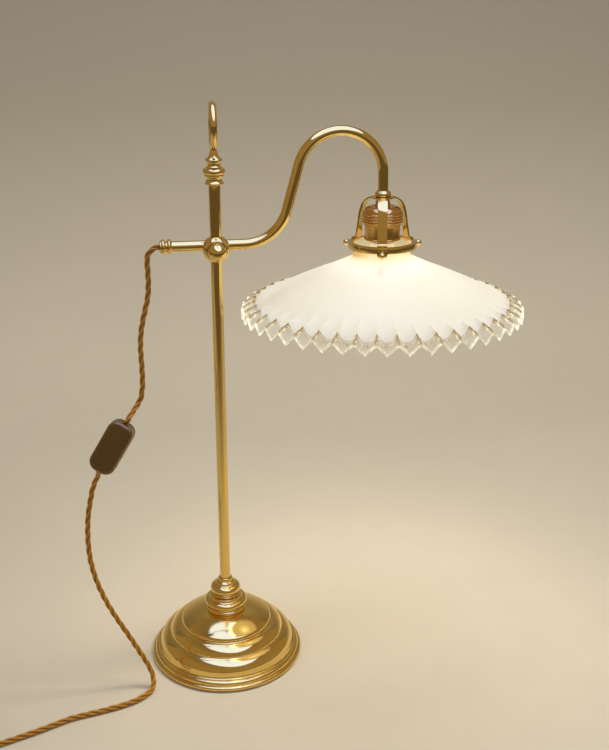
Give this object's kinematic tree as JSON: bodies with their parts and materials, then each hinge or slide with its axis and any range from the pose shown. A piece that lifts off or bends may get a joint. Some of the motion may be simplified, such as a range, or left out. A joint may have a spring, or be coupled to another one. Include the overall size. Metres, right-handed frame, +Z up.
{
  "type": "desk lamp",
  "caption": "Brass desk lamp: stepped round base, pole with carrying ring, sliding and swinging gooseneck arm, open gallery, frilled opal glass shade, twisted flex with inline switch.",
  "frame": {"origin": "centre of the base's foot, on the table", "axes": "+Z up along the pole, +X along the arm towards the shade, -Y towards the clamp knob"},
  "size_m": [0.6995, 0.319, 0.6372],
  "materials": {
    "polished_brass": "polished, lacquered",
    "cast_iron": "rough cast",
    "steel": "zinc plated",
    "felt": "green baize",
    "liner_plastic": "plain",
    "bush_plastic": "plain",
    "gold_flex": "braided rayon over three cores",
    "ceramic": "glazed ceramic",
    "opal_glass": "opal, glowing",
    "clear_glass": "clear, crimped",
    "bulb_glass": "frosted",
    "nickel": "nickel plated",
    "antique_gold": "satin, metallised",
    "plug_brown": "plain"
  },
  "bodies": {
    "base": {"base_shell": "polished_brass", "base_weight": "cast_iron", "felt_pad": "felt", "base_neck": "polished_brass", "pole": "polished_brass", "pole_nut": "steel", "pole_washer": "steel", "finial": "polished_brass", "carry_ring": "polished_brass", "flex_floor": "gold_flex", "flex_coil": "gold_flex", "flex_tail": "gold_flex", "coil_tie": "plug_brown", "plug_body": "plug_brown", "plug_guard": "plug_brown", "plug_pins": "nickel"},
    "slider": {"slide_liner": "liner_plastic", "switch_base": "antique_gold", "switch_cover": "antique_gold", "switch_screws": "steel", "switch_contacts": "polished_brass", "flex_lower": "gold_flex"},
    "rocker": {"switch_rocker": "antique_gold"},
    "arm": {"knuckle": "polished_brass", "arm_tube": "polished_brass", "arm_set_screw": "polished_brass", "tail_cap": "polished_brass", "tail_bush": "bush_plastic", "arm_flex": "gold_flex", "head_collar": "polished_brass", "gallery_spider": "polished_brass", "gallery_ring": "polished_brass", "holder_cap": "polished_brass", "holder_ring": "polished_brass", "holder_skirt": "polished_brass", "holder_insert": "ceramic", "holder_shell": "polished_brass", "holder_contact": "polished_brass", "bulb_cap": "nickel", "bulb_glass": "bulb_glass", "shade_opal": "opal_glass", "shade_frill": "clear_glass", "flex_upper": "gold_flex"},
    "pad": {"clamp_pad": "polished_brass"},
    "knob": {"clamp_knob": "polished_brass"},
    "front_screw": {"thumbscrew_1": "polished_brass"},
    "right_screw": {"thumbscrew_2": "polished_brass"},
    "left_screw": {"thumbscrew_3": "polished_brass"}
  },
  "joints": [
    {"name": "height_slide", "type": "slide", "parent": "base", "child": "slider", "axis": [0, 0, 1], "range_m": [-0.2, 0.05]},
    {"name": "arm_swing", "type": "hinge", "parent": "slider", "child": "arm", "pos_m": [0, 0, 0.4885], "axis": [0, 0, 1], "range_deg": [-170, 170]},
    {"name": "pad_slide", "type": "slide", "parent": "arm", "child": "pad", "axis": [0, -1, 0], "range_m": [0, 0.002]},
    {"name": "knob_turn", "type": "hinge", "parent": "pad", "child": "knob", "pos_m": [0, 0, 0.4885], "axis": [0, -1, 0], "range_deg": [0, 720]},
    {"name": "rocker_tilt", "type": "hinge", "parent": "slider", "child": "rocker", "pos_m": [-0.11866, -0.01994, 0.27833], "axis": [0.8285, -0.2688, -0.4913], "range_deg": [0, 16]},
    {"name": "front_screw_slide", "type": "slide", "parent": "arm", "child": "front_screw", "axis": [-0.2249, -0.9737, 0.0358], "range_m": [0, 0.003]},
    {"name": "right_screw_slide", "type": "slide", "parent": "arm", "child": "right_screw", "axis": [0.9563, 0.2924, -0.0046], "range_m": [0, 0.003]},
    {"name": "left_screw_slide", "type": "slide", "parent": "arm", "child": "left_screw", "axis": [-0.7313, 0.6813, -0.0313], "range_m": [0, 0.003]}
  ],
  "couplings": [
    {"joint": "knob_turn", "follows": "pad_slide", "rad_per_m": 6283.2}
  ]
}
